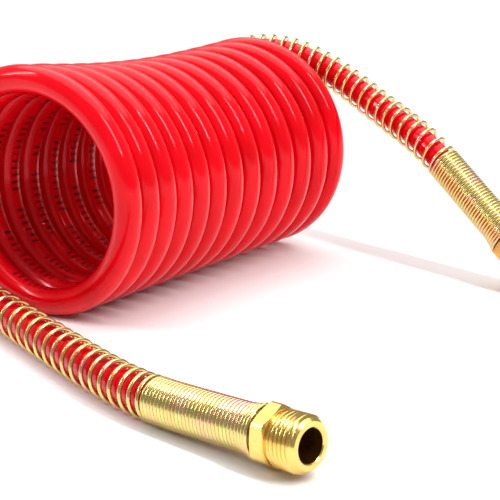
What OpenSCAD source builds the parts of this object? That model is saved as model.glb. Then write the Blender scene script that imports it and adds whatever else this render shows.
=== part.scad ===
// Coiled air hose: a preformed nylon coil with a free lead at each end.
// Each lead runs inside a spring guard and ends in a male pipe fitting.
// The coil lies on its side along Y, with the middle of its length over the origin.
// Millimetres, +Z up, floor at Z = 0.

/* [Hose] */
// Outside diameter of the hose
hose_od = 12.7; // [10:0.1:16]
// Wall of the hose
hose_wall = 1.6; // [1:0.1:2.2]

/* [Coil] */
// Radius of the coil to the middle of the hose
coil_radius = 52.2; // [40:0.2:70]
// Whole turns in the coil
coil_turns = 13; // [9:1:16]
// Distance from one turn to the next
coil_pitch = 15; // [13.5:0.1:18]
// Gap between the coil and the lead that pulls away from it
coil_gap = 0.5; // [0.3:0.1:2]

/* [Spring guards] */
// Diameter of the guard's wire
wire_d = 1.8; // [1.2:0.1:2.4]
// Gap between the hose and the inside of the guard
guard_gap = 0.9; // [0.5:0.1:1.5]
// Turns of the close-wound part
close_turns = 31; // [20:1:40]
// Space from one close-wound turn to the next, past the wire's own diameter
close_slack = 0.05; // [0.02:0.01:0.3]
// Close-wound turns that flare over the crimp collar
flare_turns = 5; // [3:1:8]
// How far the last turn flares out
flare_rise = 1.3; // [0.8:0.1:2]
// Turns of the open-wound part beside the front fitting
near_open_turns = 21; // [12:1:24]
// Length of the front guard
near_guard_len = 233.4; // [180:0.1:245]
// Turns of the open-wound part beside the rear fitting
far_open_turns = 23; // [12:1:26]
// Length of the rear guard
far_guard_len = 211.4; // [160:0.1:225]

/* [Fittings] */
// Hexagon across its flats
hex_af = 20.6; // [19:0.1:26]
// Diameter of the turned corners, as a share of the flats
corner_share = 1.12; // [1.08:0.01:1.15]
// Length of the front fitting's hexagon
hex_len = 6.2; // [5:0.1:12]
// Length of the rear fitting's hexagon, which holds the swivel
swivel_hex_len = 12; // [11:0.1:18]
// Largest diameter of the tapered pipe thread, at its root end
thread_d = 21.2; // [18:0.1:24]
// Length of the thread with its nose
thread_len = 12.4; // [11:0.1:18]
// Depth of the undercut between the hexagon and the thread
undercut = 0.9; // [0.4:0.1:1.4]
// Width of that undercut
undercut_len = 0.8; // [0.4:0.1:1.6]
// Chamfer at the thread's nose
nose_chamfer = 2.4; // [0.6:0.1:2.6]
// Flow bore at the front fitting's mouth
mouth_d = 12.2; // [9:0.1:14]
// Depth of that mouth
mouth_len = 12; // [8:0.5:14]
// Bore through the hose stems
stem_bore_d = 7; // [5:0.1:7.4]
// Length of the hose stems
stem_len = 20; // [14:0.5:24]
// Height of a barb on the stems
barb = 0.25; // [0.1:0.05:0.4]
// Length of the crimp collars
collar_len = 9; // [6:0.5:14]
// Wall of the crimp collars at the hose
collar_wall = 0.7; // [0.5:0.1:0.8]

/* [Swivel] */
// Diameter of the swivel's tail
tail_d = 13.6; // [12:0.1:14.5]
// Running gap round the tail
run_gap = 0.06; // [0.02:0.01:0.1]
// Flow bore of the swivel
swivel_bore_d = 9.6; // [7:0.1:10]
// Section of the O-ring
ring_section = 1.5; // [1:0.1:1.8]
// Width of the snap ring
snap_w = 1; // [0.8:0.1:1.4]

/* [Hidden] */

red = "#d8101c";
zinc = "#d9c067";
brass = "#dcae42";
steel = "#b9bcc0";
rubber = "#202022";

hose_r = hose_od / 2;
axis_z = coil_radius + hose_r;
coil_len = (coil_turns - 1) * coil_pitch;
guard_r = hose_r + guard_gap + wire_d / 2;
close_pitch = wire_d + close_slack;
close_len = close_turns * close_pitch;
near_open_len = near_guard_len - close_len;
far_open_len = far_guard_len - close_len;
taper = 1 / 16;
thread_nose_d = thread_d - thread_len * taper;
hex_corner_d = hex_af * corner_share;
hex_turn = -3;
stem_d = hose_od - 2 * hose_wall;

// Heights of a lead's centre over the floor: inside its guard, and in a fitting on its hexagon or its flare.
floor_gap = 0.1;
lead_z = guard_r + wire_d / 2 + floor_gap;
fitting_z = max(hex_corner_d / 2, guard_r + wire_d / 2 + flare_rise) + 2 * floor_gap;

// The coil's ends, which the leads' routes start from.
front = [0, -coil_len / 2, 0];
rear = [0, coil_len / 2, 0];

// Where the hose ends against each fitting, and the way each fitting points. The front one's axis comes down to the
// lead's height a little behind its close-wound part.
rise_run = 1.034 * close_len;
near_seat = front + [186.4, -95, fitting_z];
near_yaw = -11;
near_rise = asin((fitting_z - lead_z) / rise_run);
far_seat = rear + [163.5, -16.5, 24.5];
far_yaw = -17;
far_rise = -35.5;

// How the open-wound turns crowd towards each fitting: a share, and how late along the guard it sets in.
near_crowd = [0.15, 4];
far_crowd = [-0.09, 2];

// Angles on the coil, seen from the front, between which each lead pulls away from its turn.
near_leave = [150, 170, 190];
far_leave = [145, 125];

function heading(yaw, rise) = [cos(rise) * cos(yaw), cos(rise) * sin(yaw), sin(rise)];
function on_coil(angle, y) = [coil_radius * cos(angle), y, axis_z + coil_radius * sin(angle)];
function straight(seat, yaw, rise, shares) = [for (d = shares) seat - d * close_len * heading(yaw, rise)];

// Route of the front lead: round the last of the coil, down to the floor, along it to the fitting.
near_route = concat(
    [for (a = near_leave) on_coil(a, front.y - coil_pitch * a / 360)],
    [for (p = [[-43, -12, 19], [-25, -19, 5], [-2, -27, 0.6], [20, -36.5, 0], [47, -49.5, 0],
               [70, -60.5, 0], [91, -70, 0], [111, -78.2, 0]]) front + p + [0, 0, lead_z]],
    straight(near_seat, near_yaw, near_rise, [1, 0.67, 0.33, 0]));

// Route of the rear lead: off the top of the coil's last turn, over and down to the fitting.
far_route = concat(
    [for (a = far_leave) on_coil(a, rear.y + hose_od + coil_gap + 0.05 * (far_leave[0] - a))],
    [for (p = [[-16, 3.3, 106.6], [2, 5.3, 108.2], [20, 6.8, 105], [36, 7.3, 98.6], [59, 4.8, 87],
               [84, -2.2, 75]]) rear + p + [0, hose_od + coil_gap, 0]],
    straight(far_seat, far_yaw, far_rise, [1.22, 1, 0.67, 0.33, 0]));

// A smooth curve through the points p, with n steps from each point to the next.
function between(p0, p1, p2, p3, t) =
    0.5 * (2 * p1 + (p2 - p0) * t + (2 * p0 - 5 * p1 + 4 * p2 - p3) * t * t
           + (3 * p1 - p0 - 3 * p2 + p3) * t * t * t);
function smooth(p, n) = concat(
    [for (i = [0:len(p) - 2]) for (j = [0:n - 1])
        between(p[max(i - 1, 0)], p[i], p[i + 1], p[min(i + 2, len(p) - 1)], j / n)],
    [p[len(p) - 1]]);

// Length of the line p up to each of its points, and tables that give a place for a length.
function run(p) = [for (i = 0, s = 0; i < len(p); i = i + 1, s = i < len(p) ? s + norm(p[i] - p[i - 1]) : s) s];
function tables(p) = let (s = run(p)) [for (k = [0:2]) [for (i = [0:len(p) - 1]) [s[i], p[i][k]]]];
function place(t, s) = [for (k = [0:2]) lookup(s, t[k])];
function way(t, s) = let (d = place(t, s + 0.5) - place(t, s - 0.5)) d / norm(d);

near_line = smooth(near_route, 10);
near_table = tables(near_line);
near_len = run(near_line)[len(near_line) - 1];
far_line = smooth(far_route, 10);
far_table = tables(far_line);
far_len = run(far_line)[len(far_line) - 1];

// A ring of n points of radius r round the place at length s, square to the line.
function across(t) = let (v = cross(t, [0, 1, 0])) v / norm(v);
function ring(table, s, r, n, start) =
    let (c = place(table, s), t = way(table, s), u = across(t), v = cross(t, u))
    [for (i = [0:n - 1]) let (a = start + 360 * i / n) c + r * cos(a) * u + r * sin(a) * v];

// A closed tube through rings that all have n points.
module skin(rings, n) {
    last = len(rings) - 1;
    polyhedron(
        points = [for (r = rings) each r],
        faces = concat(
            [[for (i = [0:n - 1]) i]],
            [for (k = [0:last - 1]) for (i = [0:n - 1]) let (j = (i + 1) % n)
                [k * n + i, (k + 1) * n + i, (k + 1) * n + j]],
            [for (k = [0:last - 1]) for (i = [0:n - 1]) let (j = (i + 1) % n)
                [k * n + i, (k + 1) * n + j, k * n + j]],
            [[for (i = [n - 1:-1:0]) last * n + i]]));
}

// Puts its children at a fitting, with +Z along the fitting and Z = 0 at the hose's end.
module at_end(seat, yaw, rise) {
    translate(seat) rotate([0, 90 - rise, yaw]) children();
}

module hose_run(table, length, seat, yaw, rise) {
    sides = 12;
    rings = ceil(length / (0.7 * hose_od));
    difference() {
        skin([for (k = [0:rings]) ring(table, 0.5 + (length - 0.5) * k / rings, hose_r, sides, 15)], sides);
        at_end(seat, yaw, rise) translate([0, 0, -stem_len - 2]) cylinder(d = stem_d, h = stem_len + 3, $fn = 32);
    }
}

// Open-wound wire: it circles the hose while it moves along it, by less and less each turn where it crowds.
module guard_wire(table, length, open_len, turns, crowd, phase) {
    per_turn = 12;
    sides = 6;
    steps = turns * per_turn;
    start = length - close_len - open_len;
    function share(q) = q + crowd[0] * (q - pow(q, crowd[1]));
    function hub(k) = start + (open_len + close_pitch / 2) * share(k / steps);
    function spot(k) = ring(table, hub(k), guard_r, 1, phase + 360 * k / per_turn)[0];
    skin([for (k = [0:steps])
            let (c = spot(k), t = (spot(k + 0.5) - spot(k - 0.5)), w = t / norm(t),
                 out = c - place(table, hub(k)), u = out / norm(out), v = cross(w, u))
            [for (i = [0:sides - 1]) let (a = -360 * i / sides)
                c + wire_d / 2 * (cos(a) * u + sin(a) * v)]], sides);
}

// Close-wound wire: ribs a wire apart, the last ones rising over the crimp collar.
module guard_close() {
    r = wire_d / 2;
    function rise(i) = let (k = max(0, i - (close_turns - 1 - flare_turns)) / flare_turns) flare_rise * k * k;
    function rib(i, a) = [guard_r + rise(i) + r * cos(a), -close_len + (i + 0.5) * close_pitch + r * sin(a)];
    rotate_extrude($fn = 48)
        polygon(concat(
            [for (i = [0:close_turns - 1]) for (a = [-63, -21, 21, 63]) rib(i, a)],
            [for (i = [close_turns - 1:-1:0]) for (a = [120, 180, 240]) rib(i, a)]));
}

// Sleeve crimped over the hose's end, which swells where the guard flares.
module crimp_collar() {
    inner = hose_r;
    outer = inner + collar_wall;
    swell = outer + 0.6 * flare_rise;
    rim = 1.2;
    chamfer = 0.8;
    rotate_extrude($fn = 48)
        polygon([[inner, -collar_len], [inner + collar_wall / 2, -collar_len], [outer, -collar_len + chamfer],
                 [outer, -collar_len / 2], [swell, -rim], [swell, 0], [inner, 0]]);
}

// Hexagon with its corners turned off round both faces.
module hexagon(length) {
    drop = (hex_corner_d - hex_af) / 4;
    intersection() {
        rotate([0, 0, hex_turn]) cylinder(d = hex_af / cos(30), h = length, $fn = 6);
        rotate_extrude($fn = 64)
            polygon([[0, 0], [hex_af / 2, 0], [hex_corner_d / 2, drop], [hex_corner_d / 2, length - drop],
                     [hex_af / 2, length], [0, length]]);
    }
}

// Tapered thread blank from z up, with its undercut and its chamfered nose.
module thread_blank(z) {
    tip = z + thread_len;
    root = thread_d / 2 - undercut;
    lead_in = 0.6;
    nose_slope = 0.8;
    rotate_extrude($fn = 64)
        polygon([[0, z - 0.01], [root, z - 0.01], [root, z + undercut_len],
                 [thread_d / 2, z + undercut_len + lead_in],
                 [thread_nose_d / 2 + nose_chamfer * taper / 2, tip - nose_chamfer],
                 [thread_nose_d / 2 - nose_chamfer * nose_slope, tip], [0, tip]]);
}

// Barbed stem that the hose is pushed over.
module stem() {
    barbs = 4;
    land = 2;
    step = (stem_len - 2 * land) / barbs;
    r = stem_d / 2;
    rotate_extrude($fn = 48)
        polygon(concat(
            [[0, 0.5], [r, 0.5], [r, -land]],
            [for (i = [0:barbs - 1]) each [[r + barb, -land - i * step - 0.01], [r, -land - (i + 1) * step]]],
            [[r - 0.5, -stem_len], [0, -stem_len]]));
}

module hose_coil() {
    bulge = 65;
    y0 = -coil_len / 2;
    function turn(i, a) = [coil_radius + hose_r * cos(a), y0 + i * coil_pitch + hose_r * sin(a)];
    last = coil_turns - 1;
    color(red)
        translate([0, 0, axis_z]) rotate([-90, 0, 0])
            rotate_extrude($fn = 96)
                polygon(concat(
                    [turn(0, -90)],
                    [for (i = [0:last]) for (a = [-bulge:bulge / 3:bulge]) turn(i, a)],
                    [turn(last, 90)],
                    [for (i = [last:-1:0]) for (a = [180 - bulge:bulge / 3:180 + bulge]) turn(i, a)]));
}

module near_lead_hose() {
    color(red) hose_run(near_table, near_len, near_seat, near_yaw, near_rise);
}

module near_guard_open_coils() {
    color(zinc) guard_wire(near_table, near_len, near_open_len, near_open_turns, near_crowd, 0);
}

module near_guard_close_coils() {
    color(zinc) at_end(near_seat, near_yaw, near_rise) guard_close();
}

module near_crimp_collar() {
    color(steel) at_end(near_seat, near_yaw, near_rise) crimp_collar();
}

module near_fitting() {
    tip = hex_len + thread_len;
    color(brass) at_end(near_seat, near_yaw, near_rise)
        difference() {
            union() {
                stem();
                hexagon(hex_len);
                thread_blank(hex_len);
            }
            translate([0, 0, -stem_len - 1]) cylinder(d = stem_bore_d, h = stem_len + tip, $fn = 48);
            translate([0, 0, tip - mouth_len]) cylinder(d = mouth_d, h = mouth_len + 1, $fn = 48);
        }
}

module far_lead_hose() {
    color(red) hose_run(far_table, far_len, far_seat, far_yaw, far_rise);
}

module far_guard_open_coils() {
    color(zinc) guard_wire(far_table, far_len, far_open_len, far_open_turns, far_crowd, 90);
}

module far_guard_close_coils() {
    color(zinc) at_end(far_seat, far_yaw, far_rise) guard_close();
}

module far_crimp_collar() {
    color(steel) at_end(far_seat, far_yaw, far_rise) crimp_collar();
}

// Where the swivel's parts lie along the fitting.
socket_floor = 2.2;
tail_start = socket_floor + 0.4;
snap_z = swivel_hex_len - 3.2;
ring_z = tail_start + 2.6;
nipple_z = swivel_hex_len + 0.4;
socket_r = tail_d / 2 + run_gap;
snap_depth = 0.8;

module far_swivel_body() {
    color(brass) at_end(far_seat, far_yaw, far_rise)
        difference() {
            union() {
                stem();
                hexagon(swivel_hex_len);
            }
            translate([0, 0, -stem_len - 1]) cylinder(d = stem_bore_d, h = stem_len + swivel_hex_len, $fn = 48);
            translate([0, 0, socket_floor]) cylinder(r = socket_r, h = swivel_hex_len, $fn = 64);
            translate([0, 0, snap_z]) cylinder(r = socket_r + snap_depth, h = snap_w + 0.1, $fn = 64);
        }
}

module far_swivel_nipple() {
    r = tail_d / 2;
    groove = ring_section * 0.9;
    color(brass) at_end(far_seat, far_yaw, far_rise)
        difference() {
            union() {
                rotate_extrude($fn = 64)
                    polygon([[0, tail_start], [r - 0.4, tail_start], [r, tail_start + 0.4],
                             [r, ring_z - ring_section * 0.6], [r - groove, ring_z - ring_section * 0.6],
                             [r - groove, ring_z + ring_section * 0.6], [r, ring_z + ring_section * 0.6],
                             [r, snap_z - 0.1], [r - snap_depth, snap_z - 0.1],
                             [r - snap_depth, snap_z + snap_w + 0.2], [r, snap_z + snap_w + 0.2],
                             [r, nipple_z + 0.1], [0, nipple_z + 0.1]]);
                thread_blank(nipple_z);
            }
            translate([0, 0, tail_start - 1])
                cylinder(d = swivel_bore_d, h = nipple_z + thread_len - tail_start + 2, $fn = 48);
        }
}

module far_swivel_o_ring() {
    color(rubber) at_end(far_seat, far_yaw, far_rise)
        rotate_extrude($fn = 64)
            translate([tail_d / 2 - ring_section / 2, ring_z]) circle(d = ring_section, $fn = 24);
}

// Split ring in the body's groove, which the nipple's groove turns past.
module far_snap_ring() {
    inner = tail_d / 2 - snap_depth + 0.2;
    outer = socket_r + snap_depth - 0.05;
    color(steel) at_end(far_seat, far_yaw, far_rise)
        difference() {
            translate([0, 0, snap_z]) cylinder(r = outer, h = snap_w, $fn = 64);
            translate([0, 0, snap_z - 1]) cylinder(r = inner, h = snap_w + 2, $fn = 64);
            translate([0, -1.5, snap_z - 1]) cube([outer + 1, 3, snap_w + 2]);
        }
}

hose_coil();
near_lead_hose();
near_guard_open_coils();
near_guard_close_coils();
near_crimp_collar();
near_fitting();
far_lead_hose();
far_guard_open_coils();
far_guard_close_coils();
far_crimp_collar();
far_swivel_body();
far_swivel_nipple();
far_swivel_o_ring();
far_snap_ring();
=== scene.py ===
"""A coiled air hose with its spring guards and pipe fittings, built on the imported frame, in metres."""

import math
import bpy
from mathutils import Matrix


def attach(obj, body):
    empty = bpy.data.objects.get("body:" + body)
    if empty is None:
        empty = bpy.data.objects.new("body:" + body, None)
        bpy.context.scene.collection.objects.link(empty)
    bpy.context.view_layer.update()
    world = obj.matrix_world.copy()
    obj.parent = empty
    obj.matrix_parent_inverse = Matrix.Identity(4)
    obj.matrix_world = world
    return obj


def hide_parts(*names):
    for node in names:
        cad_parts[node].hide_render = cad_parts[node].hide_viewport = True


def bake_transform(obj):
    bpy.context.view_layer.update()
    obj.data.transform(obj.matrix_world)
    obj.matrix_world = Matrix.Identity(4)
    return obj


bl_info = {
    "name": "Coiled Air Hose",
    "version": (1, 0, 0),
    "blender": (4, 5, 0),
    "location": "View3D > Sidebar > Air Hose",
    "description": "Builds a coiled nylon air hose with spring guards and male pipe fittings",
    "category": "Add Mesh",
}

import bmesh
import bpy
import numpy as np
from bpy.props import FloatProperty, FloatVectorProperty, IntProperty, PointerProperty
from mathutils import Vector

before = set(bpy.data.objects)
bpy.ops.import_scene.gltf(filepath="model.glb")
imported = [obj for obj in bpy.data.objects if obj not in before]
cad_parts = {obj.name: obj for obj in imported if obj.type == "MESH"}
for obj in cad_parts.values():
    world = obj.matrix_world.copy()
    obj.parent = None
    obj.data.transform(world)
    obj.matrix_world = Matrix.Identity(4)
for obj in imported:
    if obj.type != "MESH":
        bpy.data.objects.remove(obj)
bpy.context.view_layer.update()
MM = 0.001

# The hose's route, as the part's source lays it: the fittings' seats, and the way each points, in degrees.
NEAR_SEAT, NEAR_WAY = (0.1864, -0.185, 0.011736), (-11.0, 2.5)
FAR_SEAT, FAR_WAY = (0.1635, 0.0735, 0.0245), (-17.0, -35.5)
# Angles on the coil, seen from the front, of the last knots before each lead, and between the others.
NEAR_LEAVES, FAR_LEAVES, KNOT_STEP = (150.0, 170.0, 190.0), (145.0, 125.0), 15
# Free points of the front lead, past the coil's front end, and of the rear lead, past its rear end.
NEAR_POINTS = (
    (-0.043, -0.102, 0.02815), (-0.025, -0.109, 0.01415), (-0.002, -0.117, 0.00975),
    (0.020, -0.1265, 0.00915), (0.047, -0.1395, 0.00915), (0.070, -0.1505, 0.00915),
    (0.091, -0.160, 0.00915), (0.111, -0.1682, 0.00915))
FAR_POINTS = (
    (-0.016, 0.1065, 0.1066), (0.002, 0.1085, 0.1082), (0.020, 0.110, 0.105),
    (0.036, 0.1105, 0.0986), (0.059, 0.108, 0.087), (0.084, 0.101, 0.075))
# Knots on each lead's straight end, as shares of the close-wound length back from the fitting's seat.
NEAR_STRAIGHT, FAR_STRAIGHT = (0, 0.33, 0.67, 1), (1.22, 1, 0.67, 0.33, 0)
# How the open-wound turns crowd towards each fitting: a share, and how late along the guard it sets in.
NEAR_CROWD, FAR_CROWD = (0.15, 4), (-0.09, 2)

CAMERA_AT, CAMERA_WAY, CAMERA_LENS = (0.41909, -0.55229, 0.18132), (-0.53272, 0.81257, -0.23652), 98.97


def length(name, default, description, low=0.0, high=1.0):
    return FloatProperty(
        name=name, description=description, default=default, min=low, max=high, unit="LENGTH", precision=5)


def count(name, default, description, low, high):
    return IntProperty(name=name, description=description, default=default, min=low, max=high)


def colour(name, default, description):
    return FloatVectorProperty(
        name=name, description=description, default=default, subtype="COLOR", size=4, min=0.0, max=1.0)


class HoseSizes(bpy.types.PropertyGroup):
    tube_d: length("Hose diameter", 0.0127, "Outside diameter of the hose")
    coil_radius: length("Coil radius", 0.0522, "Radius of the coil to the middle of the hose")
    coil_turns: count("Turns", 13, "Whole turns in the coil", 9, 16)
    coil_pitch: length("Turn spacing", 0.015, "Distance from one turn to the next")
    coil_gap: length("Lead gap", 0.0005, "Gap between the coil and the lead that pulls away from it")
    waist: length("Waist", 0.0025, "How much smaller the middle turns' radius is than the end turns'")
    lean: length("Lean", 0.006, "How far the middle turns have slumped towards the front")
    sides: count("Sides", 36, "Faces round the hose", 12, 64)


class GuardSizes(bpy.types.PropertyGroup):
    wire_d: length("Wire diameter", 0.0018, "Diameter of the guard's wire")
    hose_gap: length("Gap to the hose", 0.0009, "Gap between the hose and the inside of the guard")
    close_turns: count("Close turns", 31, "Turns of the close-wound part", 20, 40)
    close_slack: length("Slack", 0.00005, "Space between close-wound turns")
    flare_turns: count("Flare turns", 5, "Turns that flare over the collar", 3, 8)
    flare_rise: length("Flare", 0.0013, "How far the last turn flares out")
    near_turns: count("Front open turns", 21, "Open-wound turns beside the front fitting", 12, 24)
    near_len: length("Front guard length", 0.2334, "Length of the front guard")
    far_turns: count("Rear open turns", 23, "Open-wound turns beside the rear fitting", 12, 26)
    far_len: length("Rear guard length", 0.2114, "Length of the rear guard")


class FittingSizes(bpy.types.PropertyGroup):
    hex_af: length("Hexagon across flats", 0.0206, "Hexagon across its flats")
    hex_turn: FloatProperty(
        name="Hexagon turn", description="How far the hexagon is turned about its axis",
        default=math.radians(-3), subtype="ANGLE")
    corner_share: FloatProperty(
        name="Corners", description="Diameter of the turned corners, as a share of the flats",
        default=1.12, min=1.08, max=1.15)
    hex_len: length("Front hexagon length", 0.0062, "Length of the front fitting's hexagon")
    swivel_hex_len: length("Rear hexagon length", 0.012, "Length of the hexagon that holds the swivel")
    thread_d: length("Thread diameter", 0.0212, "Largest diameter of the tapered pipe thread")
    thread_len: length("Thread length", 0.0124, "Length of the thread with its nose")
    thread_pitch: length("Thread pitch", 0.001814, "Distance between the thread's crests")
    thread_depth: length("Thread depth", 0.00105, "Depth of the thread")
    nose_chamfer: length("Nose chamfer", 0.0024, "Chamfer at the thread's nose")
    mouth_d: length("Mouth bore", 0.0122, "Flow bore at the front fitting's mouth")
    mouth_len: length("Mouth depth", 0.012, "Depth of that mouth")
    stem_bore_d: length("Stem bore", 0.007, "Bore through the hose stems")
    stem_d: length("Stem diameter", 0.0095, "Diameter of the hose stems")
    stem_len: length("Stem length", 0.020, "Length of the hose stems")
    tail_d: length("Swivel tail", 0.0136, "Diameter of the swivel's tail")
    swivel_bore_d: length("Swivel bore", 0.0096, "Flow bore of the swivel")


class Finishes(bpy.types.PropertyGroup):
    hose_red: colour("Hose red", (0.80, 0.0010, 0.009, 1), "Colour of the nylon")
    hose_deep: colour("Hose deep red", (0.64, 0.0007, 0.005, 1), "Colour of the nylon in its deeper patches")
    print_dark: colour("Ticks", (0.035, 0.004, 0.004, 1), "Colour of the length ticks on the hose")
    zinc_gold: colour("Zinc gold", (0.78, 0.54, 0.20, 1), "Gold of the yellow zinc plating")
    zinc_green: colour("Zinc green", (0.66, 0.65, 0.22, 1), "Green of the yellow zinc plating")
    zinc_pink: colour("Zinc pink", (0.84, 0.48, 0.36, 1), "Pink of the yellow zinc plating")
    brass: colour("Brass", (0.88, 0.60, 0.18, 1), "Machined brass")
    brass_dark: colour("Brass tarnish", (0.60, 0.38, 0.09, 1), "Brass where it is handled less")
    # The bore colour is painted shade: a dark brown laid on the deep bores' walls.
    bore: colour("Bore", (0.22, 0.10, 0.02, 1), "Tarnished brass inside the bores")
    steel: colour("Steel", (0.62, 0.61, 0.58, 1), "Zinc-plated steel of the collars")
    spring: colour("Spring steel", (0.20, 0.20, 0.22, 1), "Phosphated spring steel")
    rubber: colour("Rubber", (0.02, 0.02, 0.02, 1), "Rubber of the seal")


class StageSettings(bpy.types.PropertyGroup):
    floor: colour("Floor", (0.90, 0.90, 0.905, 1), "Colour of the floor")
    sky: FloatProperty(
        name="Sky", description="Strength of the light from all round", default=0.34, min=0, max=5)
    key: FloatProperty(
        name="Key", description="Strength of the overhead light", default=2.6, min=0, max=10)
    box: FloatProperty(
        name="Softbox", description="Power of the softbox on the right", default=10.0, min=0, max=200,
        unit="POWER")


# ---------------------------------------------------------------- shapes


def heading(way):
    """Unit vector of a yaw from +X towards +Y and a rise towards +Z."""
    yaw, rise = map(math.radians, way)
    return np.array([math.cos(rise) * math.cos(yaw), math.cos(rise) * math.sin(yaw), math.sin(rise)])


def placed(points, seat, way):
    """Points of a fitting, whose own axis is +Z with its hose's end at zero, turned to its way and moved to
    its seat: a turn of 90 degrees less the rise about Y, then the yaw about Z."""
    b, c = math.radians(90 - way[1]), math.radians(way[0])
    about_y = np.array([[math.cos(b), 0, math.sin(b)], [0, 1, 0], [-math.sin(b), 0, math.cos(b)]])
    about_z = np.array([[math.cos(c), -math.sin(c), 0], [math.sin(c), math.cos(c), 0], [0, 0, 1]])
    return points @ (about_z @ about_y).T + np.array(seat)


def unit(v):
    return v / np.linalg.norm(v, axis=-1, keepdims=True)


def run_of(line):
    """Length of the line up to each of its points."""
    return np.concatenate([[0], np.cumsum(np.linalg.norm(np.diff(line, axis=0), axis=1))])


def sampled(rows, run, at):
    """Rows known at each distance in run, worked out at other distances in a straight line between them."""
    return np.stack([np.interp(at, run, column) for column in rows.T], 1)


def spline(knots, step):
    """Natural cubic spline through the knots: its parameter is the chord length, its second derivatives
    solve the usual three-term equations, and it is cut into even lengths of about one step."""
    fine_per_step = 8
    t = run_of(knots)
    h, n = np.diff(t), len(t)
    slope = np.diff(knots, axis=0) / h[:, None]
    left, right = np.zeros((n, n)), np.zeros((n, 3))
    left[0, 0] = left[-1, -1] = 1
    i = np.arange(1, n - 1)
    left[i, i - 1], left[i, i], left[i, i + 1] = h[:-1], 2 * (h[:-1] + h[1:]), h[1:]
    right[1:-1] = 6 * np.diff(slope, axis=0)
    m = np.linalg.solve(left, right)
    x = np.linspace(0, t[-1], int(t[-1] / step) * fine_per_step)
    k = np.clip(np.searchsorted(t, x, side="right") - 1, 0, n - 2)
    d, w = (x - t[k])[:, None], h[k][:, None]
    linear = slope[k] - w * (2 * m[k] + m[k + 1]) / 6
    fine = knots[k] + d * linear + d**2 * m[k] / 2 + d**3 * (m[k + 1] - m[k]) / (6 * w)
    run = run_of(fine)
    return sampled(fine, run, np.linspace(0, run[-1], round(run[-1] / step) + 1))


def hose_knots(hose, guard):
    """Knots of the whole hose, from the front fitting's seat to the rear one's: each lead's points, and
    between them a right-handed helix about an axis along Y. It lies on the floor. Its middle turns are
    smaller and have slumped forward, both by a half sine of the place along the coil. Over its last part of
    a turn it moves on by the square of the place in that part, until it clears the turn before by the
    gap."""
    half = (hose.coil_turns - 1) * hose.coil_pitch / 2
    close = guard.close_turns * (guard.wire_d + guard.close_slack)
    front = np.array(NEAR_SEAT) - close * np.array(NEAR_STRAIGHT)[:, None] * heading(NEAR_WAY)
    rear = np.array(FAR_SEAT) - close * np.array(FAR_STRAIGHT)[:, None] * heading(FAR_WAY)

    last_part = (360 - FAR_LEAVES[0]) / 360
    end = FAR_LEAVES[0] - 360 * hose.coil_turns
    even = np.arange(NEAR_LEAVES[0] - KNOT_STEP, end + KNOT_STEP / 2, -KNOT_STEP)
    angle = np.concatenate([NEAR_LEAVES[::-1], even, [end, end - (FAR_LEAVES[0] - FAR_LEAVES[1])]])
    turn = -angle / 360
    middle = np.sin(np.pi * np.clip(turn / (hose.coil_turns - 0.5), 0, 1))
    wide = hose.coil_radius - hose.waist * middle
    late = np.clip((turn - hose.coil_turns + 1) / last_part, 0, None)
    pulled = hose.tube_d + hose.coil_gap - hose.coil_pitch * last_part
    y = -half + hose.coil_pitch * turn - hose.lean * middle + pulled * late**2
    a = np.radians(angle)
    helix = np.stack([wide * np.cos(a), y, wide + hose.tube_d / 2 + wide * np.sin(a)], 1)
    return np.concatenate([front, np.array(NEAR_POINTS)[::-1], helix, np.array(FAR_POINTS), rear])


def hose_line(hose, guard, step):
    """The hose's centreline in even steps. On the leads, and fading out over the coil's first and last
    stretch, its bends are eased: each point moves to the mean of the points round it, whose weights are
    exp(-(s / reach)^2 / 2) at a distance s along the line."""
    reach, fade, near_lead, far_lead = 0.012, 0.06, 0.28, 0.21
    line = spline(hose_knots(hose, guard), step)
    run = run_of(line)
    near_share = np.clip((near_lead + fade - run) / fade, 0, 1)
    far_share = np.clip((far_lead + fade - run[-1] + run) / fade, 0, 1)
    half = round(3 * reach / step)
    weight = np.exp(-((np.arange(-half, half + 1) * step / reach) ** 2) / 2)
    weight /= weight.sum()
    padded = np.pad(line, ((half, half), (0, 0)), mode="reflect", reflect_type="odd")
    mean = np.stack([np.convolve(column, weight, "valid") for column in padded.T], 1)
    return line + (near_share + far_share)[:, None] * (mean - line)


def tube_rings(line, radius, sides, across):
    """Circles of the given radius round each point of the line, square to it. Across is a direction beside
    the line, and each circle starts on it."""
    t = unit(np.gradient(line, axis=0))
    u = unit(across - np.sum(across * t, 1)[:, None] * t)
    v = np.cross(t, u)
    a = 2 * np.pi * np.arange(sides + 1) / sides
    radius = np.broadcast_to(radius, len(line))[:, None, None]
    return line[:, None] + radius * (np.cos(a)[:, None] * u[:, None] + np.sin(a)[:, None] * v[:, None])


def rounded_ends(line, radius):
    """The line with its first and last stretch cut into the steps of a half ball, and the radius at each
    point: at a distance x inside the end, it is the root of r squared less (r - x) squared."""
    steps, first_angle, clear = 4, 0.06, 1.2
    run = run_of(line)
    x = radius * (1 - np.cos(np.linspace(first_angle, np.pi / 2, steps)))
    middle = run[(run > radius * clear) & (run < run[-1] - radius * clear)]
    at = np.concatenate([x, middle, (run[-1] - x)[::-1]])
    inside = np.minimum(np.minimum(at, run[-1] - at), radius)
    return sampled(line, run, at), np.sqrt(radius**2 - (radius - inside) ** 2)


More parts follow.
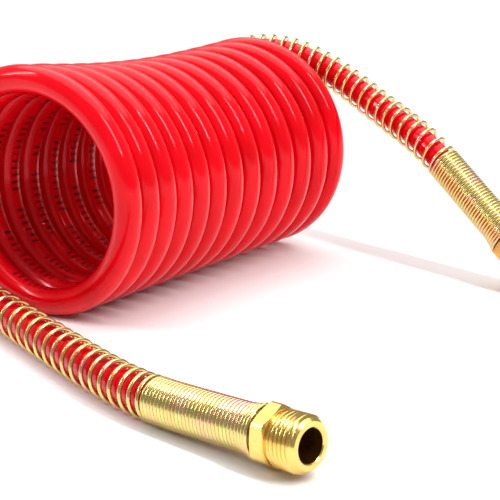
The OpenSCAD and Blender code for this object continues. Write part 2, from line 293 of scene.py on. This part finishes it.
def add_piece(name, grid, uv, material, body, nodes, ends=True):
    """Puts a grid of points, rows by columns, into a mesh of quads. The last column lies on the first, and
    repeated points are merged. Open ends are closed with a fan, and the faces are turned outwards if the
    volume is negative."""
    rows, cols = grid.shape[:2]
    points, uvs = grid.reshape(-1, 3), uv.reshape(-1, 2)
    i, j = np.meshgrid(np.arange(rows - 1), np.arange(cols - 1), indexing="ij")
    a = (i * cols + j).ravel()
    quads = np.stack([a, a + 1, a + cols + 1, a + cols], 1)
    triangles = np.zeros((0, 3), int)
    if ends:
        j = np.arange(cols - 1)
        points = np.concatenate([points, grid[0, :-1].mean(0)[None], grid[-1, :-1].mean(0)[None]])
        uvs = np.concatenate([uvs, uv[:1, 0], uv[-1:, 0]])
        first, last = len(points) - 2, len(points) - 1
        base = (rows - 1) * cols
        triangles = np.concatenate([
            np.stack([j + 1, j, np.full(cols - 1, first)], 1),
            np.stack([base + j, base + j + 1, np.full(cols - 1, last)], 1)])
    p = points[np.concatenate([quads[:, :3], quads[:, [0, 2, 3]], triangles])]
    if np.einsum("ij,ij->", p[:, 0], np.cross(p[:, 1], p[:, 2])) < 0:
        quads, triangles = quads[:, ::-1], triangles[:, ::-1]

    mesh = bpy.data.meshes.new(name)
    mesh.from_pydata(points.tolist(), [], quads.tolist() + triangles.tolist())
    layer = mesh.uv_layers.new(name="run")
    corners = np.empty(len(mesh.loops), np.int32)
    mesh.loops.foreach_get("vertex_index", corners)
    layer.data.foreach_set("uv", uvs[corners].astype(np.float32).ravel())
    work = bmesh.new()
    work.from_mesh(mesh)
    bmesh.ops.remove_doubles(work, verts=work.verts, dist=2e-7)
    bmesh.ops.dissolve_degenerate(work, edges=work.edges, dist=1e-7)
    work.to_mesh(mesh)
    work.free()
    mesh.polygons.foreach_set("use_smooth", np.ones(len(mesh.polygons), bool))
    mesh.materials.append(material)

    piece = bpy.data.objects.new(name, mesh)
    bpy.context.scene.collection.objects.link(piece)
    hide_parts(*nodes)
    if body:
        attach(piece, body)
    return piece


def guard_wire(line, from_start, open_turns, guard_len, crowd, guard, hose, seed):
    """Centreline of a guard's one wire, and the direction out of the hose at each of its points. The wire
    turns round the hose at an even rate. At the share q of the open turns it has gone the share q + c (q -
    q^p) of the open length, then it advances by the close spacing, and the last turns rise by the square of
    their place in the flare. The open turns also lie a little off along the hose and inwards, by smooth
    random amounts that fade before the close turns."""
    per_turn, off_along_by, off_in_by, fade_turns = 28, 0.22 * MM, 0.12 * MM, 2
    rng = np.random.default_rng(seed)
    pitch = guard.wire_d + guard.close_slack
    open_len = guard_len - guard.close_turns * pitch
    turns = open_turns + guard.close_turns - 0.5
    k = np.arange(round(turns * per_turn) + 1) / per_turn

    c, p = crowd
    q = np.minimum(k / open_turns, 1)
    opened = (open_len + pitch / 2) / open_turns * (1 + c * (1 - p * q ** (p - 1)))
    spacing = np.pad(np.where(k < open_turns, opened, pitch), per_turn // 2, mode="edge")
    soft = np.convolve(spacing, np.ones(per_turn + 1) / (per_turn + 1), "valid")
    gone = np.concatenate([[0], np.cumsum((soft[1:] + soft[:-1]) / 2 / per_turn)])

    loose = np.clip((open_turns - k) / fade_turns, 0, 1)
    knots = np.arange(0, turns + 2, 0.5)
    off_along, off_in = (np.interp(k, knots, rng.normal(0, 1, len(knots))) for _ in range(2))
    away = pitch / 2 + gone[-1] - gone + loose * off_along * off_along_by
    flare_from = open_turns + guard.close_turns - 1.5 - guard.flare_turns
    flare = np.clip((k - flare_from) / guard.flare_turns, 0, None)
    out = hose.tube_d / 2 + guard.hose_gap + guard.wire_d / 2 + guard.flare_rise * flare**2
    out = out - loose * np.abs(off_in) * off_in_by

    run = run_of(line)
    at = away if from_start else run[-1] - away
    tangent = unit(sampled(np.gradient(line, axis=0), run, at))
    u = unit(np.cross(tangent, [0, 1, 0]))
    v = np.cross(tangent, u)
    turn = -2 * np.pi * k if from_start else 2 * np.pi * k + np.pi / 2
    radial = np.cos(turn)[:, None] * u + np.sin(turn)[:, None] * v
    return sampled(line, run, at) + out[:, None] * radial, radial


def hexagon_columns(turn, corner_share):
    """Angles round a hexagon, with one on each edge of its flats and of the lands at its corners."""
    side, on_flat = math.pi / 3, 14
    land = side / 2 - math.acos(1 / corner_share)
    flat = np.linspace(land, side - land, on_flat)[1:]
    step = np.concatenate([[0, land / 2, land], flat, [side - land / 2]])
    return np.concatenate([step + k * side for k in range(6)] + [[2 * math.pi]]) + turn


def lathed(z, r, angle):
    """Points at the radius r and height z, both rows by columns, turned to the columns' angles, and their UV,
    which is the height and the angle."""
    points = np.stack([r * np.cos(angle), r * np.sin(angle), np.broadcast_to(z, r.shape)], -1)
    return points, np.stack([z, np.broadcast_to(angle, z.shape)], -1)


def stem_profile(fit):
    """Heights and radii of the barbed stem, from the hexagon's back down to the stem's end: saw teeth, each
    steep on top and sloping down to the next."""
    barbs, barb_rise, barb_steep = 4, 0.25 * MM, 0.01 * MM
    shoulder, point, point_drop = 2 * MM, 2 * MM, 0.5 * MM
    r = fit.stem_d / 2
    step = (fit.stem_len - shoulder - point) / barbs
    top = -shoulder - step * np.arange(barbs)
    z = np.stack([top, top - barb_steep, top - step], 1).ravel()
    radius = np.tile([r, r + barb_rise, r], barbs)
    return [(0.0, r), *zip(z, radius), (-fit.stem_len, r - point_drop)]


def hexed_body(fit, size, inside):
    """A hexagon with its corners turned off, on a barbed stem. Its radius at an angle is the smaller of the
    flat's, half the width over the cosine, and the corner's, and the turned faces start where their cones
    meet it. Inside is the bore's profile, from the front face's inner edge to the stem's end."""
    flat, face_drop, front_slope, back_slope = fit.hex_af / 2, 0.2 * MM, 0.43, 0.5
    angle = hexagon_columns(fit.hex_turn, fit.corner_share)
    from_flat = (angle - fit.hex_turn) % (math.pi / 3) - math.pi / 6
    edge = np.minimum(flat / np.cos(from_flat), flat * fit.corner_share)
    front = size - front_slope * (edge - flat + face_drop)
    outer = [(size, flat - face_drop), (front, edge), (size / 2, edge), (back_slope * (edge - flat), edge),
             (0.0, flat)]
    rows = outer + stem_profile(fit) + inside[::-1] + outer[:1]
    z, r = (np.stack([np.broadcast_to(value, edge.shape) for value in column]) for column in zip(*rows))
    return lathed(z, r, angle)


def threaded_end(fit, start, inside):
    """A male pipe thread with a 1 in 16 taper, from its start to its chamfered nose. Its rows follow the
    helix: each lies at a fixed phase of the thread's profile, a trapezoid wave, and climbs one pitch in a
    turn. Where the neck's and the nose's cones are narrower, they cut it. Inside is the bore's profile, from
    the nose to the start."""
    columns, taper, nose_slope = 120, 1 / 16, 0.8
    neck_gap, neck_len = 0.1 * MM, 0.7 * MM
    crest_share, flank_share = 0.05, 0.39
    phases = np.array([0, 0.05, 0.15, 0.25, 0.35, 0.44, 0.5, 0.56, 0.65, 0.75, 0.85, 0.95])
    angle = np.linspace(0, 2 * math.pi, columns + 1)
    tip = start + fit.thread_len
    turns = int(fit.thread_len / fit.thread_pitch) + 3
    phase = np.tile(phases, turns) + np.repeat(np.arange(turns), len(phases))
    z = np.clip(start + fit.thread_pitch * (phase[:, None] - 1 + angle / (2 * math.pi)), start, tip)
    depth = np.clip((0.5 - np.abs(phase % 1 - 0.5) - crest_share) / flank_share, 0, 1)[:, None]
    crest = fit.thread_d / 2 - (z - start) * taper / 2
    neck = fit.thread_d / 2 - fit.thread_depth - neck_gap
    neck_cone = neck + np.clip(z - start - neck_len, 0, None)
    nose = (fit.thread_d - (fit.thread_len - fit.nose_chamfer) * taper) / 2
    nose_cone = nose - nose_slope * np.clip(z - tip + fit.nose_chamfer, 0, None)
    r = np.minimum(crest - fit.thread_depth * depth, np.minimum(neck_cone, nose_cone))
    rest_z, rest_r = np.array([*inside, (start, neck)]).T
    z = np.concatenate([z, np.broadcast_to(rest_z[:, None], (len(rest_z), columns + 1))])
    r = np.concatenate([r, np.broadcast_to(rest_r[:, None], (len(rest_r), columns + 1))])
    return lathed(z, r, angle)


def groove(start, end, radius, floor):
    """Profile of a square groove in a wall of that radius, cut to its floor's radius."""
    return [(start, radius), (start, floor), (end, floor), (end, radius)]


def paint_bore_shade(piece, seat, way, radius, material):
    """Gives the material to the faces whose middle is nearer to the fitting's axis than the radius: painted
    shade on the bore's walls.
    """
    mesh = piece.data
    mesh.materials.append(material)
    middle = np.empty(len(mesh.polygons) * 3, np.float32)
    mesh.polygons.foreach_get("center", middle)
    off = middle.reshape(-1, 3) - np.array(seat)
    out = np.linalg.norm(off - (off @ heading(way))[:, None] * heading(way), axis=1)
    mesh.polygons.foreach_set("material_index", (out < radius).astype(np.int32))


def sharp_edges(piece, degrees, bevel=0):
    """Splits the shading at the piece's edges, and gives them a small bevel."""
    piece.data.set_sharp_from_angle(angle=math.radians(degrees))
    if bevel:
        mod = piece.modifiers.new("edges", "BEVEL")
        mod.width, mod.segments = bevel, 2
        mod.limit_method, mod.angle_limit = "ANGLE", math.radians(degrees)


# ---------------------------------------------------------------- finishes


def link(tree, socket, value):
    """Joins a node's output to a socket, or sets the socket's own value."""
    if isinstance(value, bpy.types.NodeSocket):
        tree.links.new(value, socket)
    else:
        socket.default_value = value


def node(tree, kind, inputs=(), **settings):
    """A shader node with its settings, and with each named or numbered input joined or set."""
    made = tree.nodes.new("ShaderNode" + kind)
    for key, value in settings.items():
        setattr(made, key, value)
    for key, value in dict(inputs).items():
        link(tree, made.inputs[key], value)
    return made


def finish_of(name, **values):
    """A new material with its Principled shader, whose named sockets are set."""
    material = bpy.data.materials.new(name)
    material.use_nodes = True
    shader = material.node_tree.nodes["Principled BSDF"]
    for key, value in values.items():
        shader.inputs[key.replace("_", " ")].default_value = value
    return material, material.node_tree, shader


def mixed(tree, share, a, b):
    mix = node(tree, "Mix", data_type="RGBA")
    link(tree, mix.inputs[0], share)
    link(tree, mix.inputs[6], a)
    link(tree, mix.inputs[7], b)
    return mix.outputs[2]


def noise(tree, vector, scale, detail=2.0, roughness=0.5):
    inputs = {"Vector": vector, "Scale": scale, "Detail": detail, "Roughness": roughness}
    return node(tree, "TexNoise", inputs).outputs[0]


def ranged(tree, value, low, high, to_low=0.0, to_high=1.0):
    return node(tree, "MapRange", {0: value, 1: low, 2: high, 3: to_low, 4: to_high}).outputs[0]


def maths(tree, operation, a, b=0.0):
    return node(tree, "Math", {0: a, 1: b}, operation=operation).outputs[0]


def scaled(tree, vector, scale):
    return node(tree, "Mapping", {"Vector": vector, "Scale": scale}).outputs[0]


def bumped(tree, shader, height, distance, strength):
    bump = node(tree, "Bump", {"Height": height, "Distance": distance, "Strength": strength})
    tree.links.new(bump.outputs[0], shader.inputs["Normal"])


def object_place(tree):
    return node(tree, "TexCoord").outputs["Object"]


def run_map(tree):
    """The piece's own UV: metres along it, and the share or angle round it."""
    return node(tree, "UVMap", uv_map="run").outputs[0]


def nylon_finish(c):
    """Glossy extruded nylon: fine lines along the hose, a soft waviness, a red gloss with a thin clear one
    over it, and on the side that faces the coil's middle a row of plain, partly worn ticks. They come in
    groups, and stand in a band whose half width is a share of the way round the hose."""
    tick_every, tick_share, band_share, tick_strength, tick_dullness = 4 * MM, 0.4, 0.07, 0.88, 0.25
    material, tree, shader = finish_of(
        "red_nylon", IOR=1.53, Specular_IOR_Level=0.36, Specular_Tint=(1.0, 0.2, 0.24, 1), Coat_Weight=0.2,
        Coat_Roughness=0.06, Subsurface_Weight=0.04, Subsurface_Scale=0.004,
        Subsurface_Radius=(1.0, 0.05, 0.04))
    run, place = run_map(tree), object_place(tree)
    parts = node(tree, "SeparateXYZ", {0: run})
    along, around = parts.outputs[0], parts.outputs[1]
    cloud = ranged(tree, noise(tree, place, 38.0, 3.0), 0.35, 0.7)
    base = mixed(tree, cloud, tuple(c.hose_red), tuple(c.hose_deep))

    step = maths(tree, "FRACT", maths(tree, "MULTIPLY", along, 1 / tick_every))
    tick = maths(tree, "LESS_THAN", step, tick_share)
    group = maths(tree, "GREATER_THAN", noise(tree, scaled(tree, run, (60.0, 0.0, 0.0)), 1.0, 1.0), 0.46)
    off_middle = maths(tree, "ABSOLUTE", maths(tree, "SUBTRACT", around, 0.5))
    band = maths(tree, "LESS_THAN", off_middle, band_share)
    worn = ranged(tree, noise(tree, place, 900.0, 2.0), 0.36, 0.46)
    mark = maths(tree, "MULTIPLY", maths(tree, "MULTIPLY", tick, group), maths(tree, "MULTIPLY", band, worn))
    printed = mixed(tree, maths(tree, "MULTIPLY", mark, tick_strength), base, tuple(c.print_dark))
    tree.links.new(printed, shader.inputs["Base Color"])

    scuffs = ranged(tree, noise(tree, place, 420.0, 4.0, 0.6), 0.3, 0.75, 0.12, 0.2)
    rough = maths(tree, "ADD", scuffs, maths(tree, "MULTIPLY", mark, tick_dullness))
    tree.links.new(rough, shader.inputs["Roughness"])
    lines = maths(tree, "MULTIPLY", noise(tree, scaled(tree, run, (6.0, 46.0, 1.0)), 5.0, 3.0), 0.12)
    waves = noise(tree, place, 55.0, 1.0)
    bumped(tree, shader, maths(tree, "ADD", lines, waves), 0.35 * MM, 0.5)
    return material


def zinc_finish(c):
    """Yellow zinc plating on drawn wire: gold that turns green and pink in patches and round the wire, with
    fine drawing lines along it."""
    worn_pale = (0.84, 0.74, 0.52, 1)
    material, tree, shader = finish_of(
        "yellow_zinc", Metallic=1.0, Roughness=0.2, Coat_Weight=0.2, Coat_Roughness=0.1)
    run, place = run_map(tree), object_place(tree)
    patch = ranged(tree, noise(tree, place, 75.0, 3.0, 0.55), 0.5, 0.68)
    side = ranged(tree, noise(tree, scaled(tree, run, (30.0, 2.2, 1.0)), 2.0, 2.0), 0.44, 0.62)
    green = mixed(tree, side, tuple(c.zinc_gold), tuple(c.zinc_green))
    both = mixed(tree, patch, green, tuple(c.zinc_pink))
    pale = ranged(tree, noise(tree, place, 260.0, 2.0), 0.55, 0.8, 0.0, 0.3)
    tree.links.new(mixed(tree, pale, both, worn_pale), shader.inputs["Base Color"])
    lines = noise(tree, scaled(tree, run, (40.0, 30.0, 1.0)), 4.0, 3.0)
    tree.links.new(ranged(tree, lines, 0.3, 0.7, 0.14, 0.3), shader.inputs["Roughness"])
    bumped(tree, shader, lines, 0.03 * MM, 0.5)
    return material


def brass_finish(c):
    """Machined brass: turning lines round the axis, darker in patches, with the odd scratch."""
    material, tree, shader = finish_of("machined_brass", Metallic=1.0, Roughness=0.2)
    run, place = run_map(tree), object_place(tree)
    patch = ranged(tree, noise(tree, place, 160.0, 4.0, 0.6), 0.5, 0.8, 0.0, 0.7)
    tree.links.new(mixed(tree, patch, tuple(c.brass), tuple(c.brass_dark)), shader.inputs["Base Color"])
    turned = noise(tree, scaled(tree, run, (9000.0, 0.6, 1.0)), 1.0, 3.0)
    scratch = noise(tree, scaled(tree, place, (900.0, 1400.0, 260.0)), 1.0, 4.0, 0.7)
    tree.links.new(ranged(tree, scratch, 0.3, 0.8, 0.13, 0.34), shader.inputs["Roughness"])
    height = maths(
        tree, "ADD", maths(tree, "MULTIPLY", turned, 0.6), maths(tree, "MULTIPLY", scratch, 0.4))
    bumped(tree, shader, height, 0.03 * MM, 0.6)
    return material


def bore_shade_finish(c):
    """Brass inside a bore: painted shade of the deep bore, dull brown in small clouds."""
    material, tree, shader = finish_of("bore_shade_brass", Metallic=1.0)
    cloud = noise(tree, object_place(tree), 300.0, 4.0, 0.6)
    deep = (*(v * 0.5 for v in c.bore[:3]), 1)
    base = mixed(tree, ranged(tree, cloud, 0.4, 0.65), tuple(c.bore), deep)
    tree.links.new(base, shader.inputs["Base Color"])
    tree.links.new(ranged(tree, cloud, 0.3, 0.7, 0.4, 0.6), shader.inputs["Roughness"])
    bumped(tree, shader, cloud, 0.05 * MM, 0.5)
    return material


def steel_finish(name, base, rough):
    """Plated or phosphated steel: small spangles and fine scratches."""
    material, tree, shader = finish_of(name, Metallic=1.0, Roughness=rough)
    place = object_place(tree)
    spangle = noise(tree, place, 500.0, 3.0)
    dark = (*(v * 0.72 for v in base[:3]), 1)
    tree.links.new(mixed(tree, ranged(tree, spangle, 0.4, 0.65), base, dark), shader.inputs["Base Color"])
    scratches = ranged(tree, noise(tree, place, 1500.0, 3.0), 0.3, 0.7, rough * 0.8, rough * 1.3)
    tree.links.new(scratches, shader.inputs["Roughness"])
    bumped(tree, shader, spangle, 0.03 * MM, 0.5)
    return material


def rubber_finish(c):
    """Matt moulded rubber with a fine dusty bloom."""
    material, tree, shader = finish_of("black_rubber", Roughness=0.65)
    bloom = noise(tree, object_place(tree), 900.0, 3.0)
    dusty = ranged(tree, bloom, 0.5, 0.8, 0.0, 0.3)
    tree.links.new(mixed(tree, dusty, tuple(c.rubber), (0.09, 0.09, 0.09, 1)), shader.inputs["Base Color"])
    bumped(tree, shader, bloom, 0.02 * MM, 0.4)
    return material


def paper_finish(base):
    """White paper, with fibres a hundredth darker."""
    material, tree, shader = finish_of("paper_floor", Roughness=0.95, Specular_IOR_Level=0.1)
    fibre = ranged(tree, noise(tree, object_place(tree), 600.0, 3.0), 0.4, 0.6)
    dark = (*(v * 0.99 for v in base[:3]), 1)
    tree.links.new(mixed(tree, fibre, base, dark), shader.inputs["Base Color"])
    return material


def finish_named(name, maker, *values):
    """The finish of that name, made once. None has the name of one of the frame's own materials."""
    return bpy.data.materials.get(name) or maker(*values)


# ---------------------------------------------------------------- operators


class AIRHOSE_OT_stage(bpy.types.Operator):
    """Camera, white floor and soft light"""

    bl_idname = "airhose.stage"
    bl_label = "Stage"

    def execute(self, context):
        light = context.scene.airhose_stage
        self.camera(context.scene)
        self.floor(context.scene, tuple(light.floor))
        world = bpy.data.worlds.new("sky")
        world.use_nodes = True
        back = world.node_tree.nodes["Background"]
        back.inputs["Color"].default_value = (1.0, 1.0, 1.0, 1)
        back.inputs["Strength"].default_value = light.sky
        context.scene.world = world

        sun = bpy.data.lights.new("overhead", "SUN")
        sun.energy, sun.angle = light.key, math.radians(75)
        self.lamp(context.scene, sun, (0, 0, 0), (0.10, -0.28, -1.0))
        # Narrow strips, so that they leave fine streaks on the hose's turns.
        self.strip(context.scene, "softbox_right", (0.95, -0.25, 0.95), 0.8, light.box)
        self.strip(context.scene, "softbox_left", (-0.75, -0.75, 0.85), 0.6, light.box * 0.5)
        context.scene.view_settings.view_transform = "Standard"
        return {"FINISHED"}

    def camera(self, scene):
        camera = bpy.data.objects.new("camera", bpy.data.cameras.new("camera"))
        camera.data.lens, camera.data.sensor_width = CAMERA_LENS, 36.0
        camera.data.clip_start, camera.data.clip_end = 0.02, 60.0
        camera.location = CAMERA_AT
        camera.rotation_mode = "QUATERNION"
        camera.rotation_quaternion = Vector(CAMERA_WAY).to_track_quat("-Z", "Y")
        scene.collection.objects.link(camera)
        scene.camera = camera

    def floor(self, scene, white):
        """A square grid a tenth of a millimetre below the object."""
        side, n, below = 24.0, 25, 0.1 * MM
        at = np.linspace(-side / 2, side / 2, n)
        x, y = np.meshgrid(at, at, indexing="ij")
        points = np.stack([x, y, np.full_like(x, -below)], -1).reshape(-1, 3)
        i, j = np.meshgrid(np.arange(n - 1), np.arange(n - 1), indexing="ij")
        a = (i * n + j).ravel()
        mesh = bpy.data.meshes.new("floor")
        mesh.from_pydata(points.tolist(), [], np.stack([a, a + n, a + n + 1, a + 1], 1).tolist())
        mesh.materials.append(paper_finish(white))
        floor = bpy.data.objects.new("floor", mesh)
        scene.collection.objects.link(floor)

    def strip(self, scene, name, place, high, power):
        """A narrow upright area light that faces the coil."""
        wide, target = 0.05, (0.0, 0.0, 0.05)
        light = bpy.data.lights.new(name, "AREA")
        light.shape, light.size, light.size_y, light.energy = "RECTANGLE", wide, high, power
        self.lamp(scene, light, place, Vector(target) - Vector(place))

    def lamp(self, scene, light, place, way):
        lamp = bpy.data.objects.new(light.name, light)
        lamp.location = place
        lamp.rotation_mode = "QUATERNION"
        lamp.rotation_quaternion = Vector(way).to_track_quat("-Z", "Y")
        scene.collection.objects.link(lamp)


class AIRHOSE_OT_hose(bpy.types.Operator):
    """The hose, one tube from the front fitting through the coil to the rear fitting"""

    bl_idname = "airhose.hose"
    bl_label = "Hose"

    def execute(self, context):
        scene = context.scene
        hose, guard = scene.airhose_hose, scene.airhose_guard
        line = hose_line(hose, guard, 2.4 * MM)
        run = run_of(line)
        across = np.cross(np.gradient(line, axis=0), [0, 1, 0])
        grid = tube_rings(line, hose.tube_d / 2, hose.sides, across)
        around = np.arange(hose.sides + 1) / hose.sides
        uv = np.stack(np.broadcast_arrays(run[:, None], around[None]), -1)
        nylon = finish_named("red_nylon", nylon_finish, scene.airhose_finish)
        piece = add_piece("air_hose", grid, uv, nylon, None,
                          ["hose_coil", "near_lead_hose", "far_lead_hose"])
        self.stretch(piece, line, run, hose)
        return {"FINISHED"}

    def stretch(self, piece, line, run, hose):
        """Bakes the piece's transform, and works out the share of the coil's stretch that each point would
        take, which is not kept. It is none on the front lead, all on the rear lead, and grows evenly along the
        hose between them, with a soft start and stop, so that a whole ring would move together. The coil is
        where the line is far from the coil's axis and between its ends."""
        ease, far_share = 0.16, 0.9
        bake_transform(piece)
        half = hose.coil_turns * hose.coil_pitch / 2
        from_axis = np.hypot(line[:, 0], line[:, 2] - hose.coil_radius - hose.tube_d / 2)
        coiled = run[(from_axis > hose.coil_radius * far_share) & (np.abs(line[:, 1]) < half)]
        rate = np.clip(np.minimum(run - coiled[0], coiled[-1] - run) / ease, 0, 1)
        share = np.concatenate([[0], np.cumsum((rate[1:] + rate[:-1]) / 2 * np.diff(run))])
        share /= share[-1]


class AIRHOSE_OT_guards(bpy.types.Operator):
    """The two spring guards, each one wire that is open over the lead and close at the fitting"""

    bl_idname = "airhose.guards"
    bl_label = "Spring guards"

    def execute(self, context):
        scene = context.scene
        hose, guard = scene.airhose_hose, scene.airhose_guard
        line = hose_line(hose, guard, 1.0 * MM)
        self.wound(context, "near", "coil", guard_wire(
            line, True, guard.near_turns, guard.near_len, NEAR_CROWD, guard, hose, seed=4))
        self.wound(context, "far", "rear_lead", guard_wire(
            line, False, guard.far_turns, guard.far_len, FAR_CROWD, guard, hose, seed=9))
        return {"FINISHED"}

    def wound(self, context, end, body, wire_and_radial):
        """One guard's wire, with rounded ends. Each of its circles starts on the side away from the hose."""
        sides = 12
        wire, radial = wire_and_radial
        scene = context.scene
        cut, radius = rounded_ends(wire, scene.airhose_guard.wire_d / 2)
        run = run_of(cut)
        grid = tube_rings(cut, radius, sides, sampled(radial, run_of(wire), run))
        uv = np.stack(np.broadcast_arrays(run[:, None], np.arange(sides + 1)[None] / sides), -1)
        zinc = finish_named("yellow_zinc", zinc_finish, scene.airhose_finish)
        add_piece(f"{end}_spring_guard", grid, uv, zinc, body,
                  [f"{end}_guard_open_coils", f"{end}_guard_close_coils"])


def brass_part(context, name, shape, seat, way, body, cad_node, smooth_below, bevel=0):
    """A turned brass piece, placed on its seat. Edges sharper than an angle split the shading."""
    brass = finish_named("machined_brass", brass_finish, context.scene.airhose_finish)
    grid, uv = shape
    piece = add_piece(name, placed(grid, seat, way), uv, brass, body, [cad_node], ends=False)
    sharp_edges(piece, smooth_below, bevel)
    return piece


class AIRHOSE_OT_front_fitting(bpy.types.Operator):
    """The front fitting: hexagon on its stem, and tapered male thread"""

    bl_idname = "airhose.front_fitting"
    bl_label = "Front fitting"

    def execute(self, context):
        fit = context.scene.airhose_fitting
        rounding, drill_cone = 0.4 * MM, 0.8 * MM
        stem, mouth, tip = fit.stem_bore_d / 2, fit.mouth_d / 2, fit.hex_len + fit.thread_len
        through = [(fit.hex_len, stem), (-fit.stem_len, stem)]
        hexagon = hexed_body(fit, fit.hex_len, through)
        brass_part(context, "near_hexagon", hexagon, NEAR_SEAT, NEAR_WAY, "coil", "near_fitting",
                   HEXAGON_EDGES, EDGE_BEVEL)
        floor = tip - fit.mouth_len
        inside = [(tip, mouth + rounding), (tip - rounding, mouth), (floor, mouth), (floor - drill_cone, stem),
                  (fit.hex_len, stem)]
        thread = threaded_end(fit, fit.hex_len, inside)
        piece = brass_part(context, "near_thread", thread, NEAR_SEAT, NEAR_WAY, "coil", "near_fitting",
                           THREAD_EDGES)
        # The mouth's walls get a dark brown as painted shade.
        dull = finish_named("bore_shade_brass", bore_shade_finish, context.scene.airhose_finish)
        paint_bore_shade(piece, NEAR_SEAT, NEAR_WAY, mouth + BORE_MARGIN, dull)
        return {"FINISHED"}


class AIRHOSE_OT_swivel(bpy.types.Operator):
    """The rear fitting: body with its socket, and the nipple that turns in it"""

    bl_idname = "airhose.swivel"
    bl_label = "Rear swivel"

    def execute(self, context):
        fit = context.scene.airhose_fitting
        stem, size, tail = fit.stem_bore_d / 2, fit.swivel_hex_len, fit.tail_d / 2
        running_gap, lip, ring_wide, ring_deep = 0.06 * MM, 0.3 * MM, 1.1 * MM, 0.8 * MM
        socket, floor, snap = tail + running_gap, 2.2 * MM, size - 3.2 * MM
        inside = [(size, socket + lip), (size - lip, socket),
                  *groove(snap + ring_wide, snap, socket, socket + ring_deep),
                  (floor, socket), (floor, stem), (-fit.stem_len, stem)]
        brass_part(context, "far_swivel_hexagon", hexed_body(fit, size, inside), FAR_SEAT, FAR_WAY, "rear_lead",
                   "far_swivel_body", HEXAGON_EDGES, EDGE_BEVEL)

        rounding, ring_play, seal_half, seal_deep = 0.4 * MM, 0.1 * MM, 0.9 * MM, 1.35 * MM
        start, foot, seal = size + 0.4 * MM, floor + 0.4 * MM, floor + 3.0 * MM
        tip, bore = start + fit.thread_len, fit.swivel_bore_d / 2
        inside = [(tip, bore + rounding), (tip - rounding, bore), (foot, bore), (foot, tail - rounding),
                  (foot + rounding, tail), *groove(seal - seal_half, seal + seal_half, tail, tail - seal_deep),
                  *groove(snap - ring_play, snap + ring_wide + ring_play, tail, tail - ring_deep),
                  (start, tail)]
        piece = brass_part(context, "far_swivel_thread", threaded_end(fit, start, inside), FAR_SEAT, FAR_WAY,
                           "rear_nipple", "far_swivel_nipple", THREAD_EDGES)
        # The swivel's bore walls get a dark brown as painted shade.
        dull = finish_named("bore_shade_brass", bore_shade_finish, context.scene.airhose_finish)
        paint_bore_shade(piece, FAR_SEAT, FAR_WAY, bore + BORE_MARGIN, dull)
        return {"FINISHED"}


class AIRHOSE_OT_small_parts(bpy.types.Operator):
    """Finishes of the crimp collars, the O-ring and the snap ring"""

    bl_idname = "airhose.small_parts"
    bl_label = "Collars and rings"

    def execute(self, context):
        c = context.scene.airhose_finish
        plated = finish_named("plated_steel", steel_finish, "plated_steel", tuple(c.steel), 0.3)
        sprung = finish_named("phosphated_steel", steel_finish, "phosphated_steel", tuple(c.spring), 0.4)
        seal = finish_named("black_rubber", rubber_finish, c)
        for name, material in (("near_crimp_collar", plated), ("far_crimp_collar", plated),
                               ("far_snap_ring", sprung), ("far_swivel_o_ring", seal)):
            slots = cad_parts[name].data.materials
            slots.clear()
            slots.append(material)
        return {"FINISHED"}


class AIRHOSE_PT_panel(bpy.types.Panel):
    """Lists the operators, and every size, colour and light that can be changed"""

    bl_idname = "AIRHOSE_PT_panel"
    bl_label = "Coiled Air Hose"
    bl_space_type = "VIEW_3D"
    bl_region_type = "UI"
    bl_category = "Air Hose"

    def draw(self, context):
        for operator in OPERATORS:
            self.layout.operator(operator.bl_idname)
        for name in GROUPS:
            box = self.layout.box()
            group = getattr(context.scene, name)
            for key in type(group).__annotations__:
                box.prop(group, key)


# Degrees at which edges split the shading, the hexagons' bevel, and how far past the bore's wall the bore's
# painted shade goes.
HEXAGON_EDGES, THREAD_EDGES, EDGE_BEVEL, BORE_MARGIN = 12, 28, 0.12 * MM, 0.1 * MM
GROUPS = {
    "airhose_hose": HoseSizes, "airhose_guard": GuardSizes, "airhose_fitting": FittingSizes,
    "airhose_finish": Finishes, "airhose_stage": StageSettings}
OPERATORS = (
    AIRHOSE_OT_stage, AIRHOSE_OT_guards, AIRHOSE_OT_front_fitting, AIRHOSE_OT_swivel, AIRHOSE_OT_small_parts,
    AIRHOSE_OT_hose)
CLASSES = (*GROUPS.values(), *OPERATORS, AIRHOSE_PT_panel)


def register():
    for cls in CLASSES:
        bpy.utils.register_class(cls)
    for name, group in GROUPS.items():
        setattr(bpy.types.Scene, name, PointerProperty(type=group))


def unregister():
    for name in GROUPS:
        delattr(bpy.types.Scene, name)
    for cls in reversed(CLASSES):
        bpy.utils.unregister_class(cls)


def main():
    register()
    bpy.ops.airhose.stage()
    bpy.ops.airhose.guards()
    bpy.ops.airhose.front_fitting()
    bpy.ops.airhose.swivel()
    bpy.ops.airhose.small_parts()
    bpy.ops.airhose.hose()


if __name__ == "__main__":
    main()
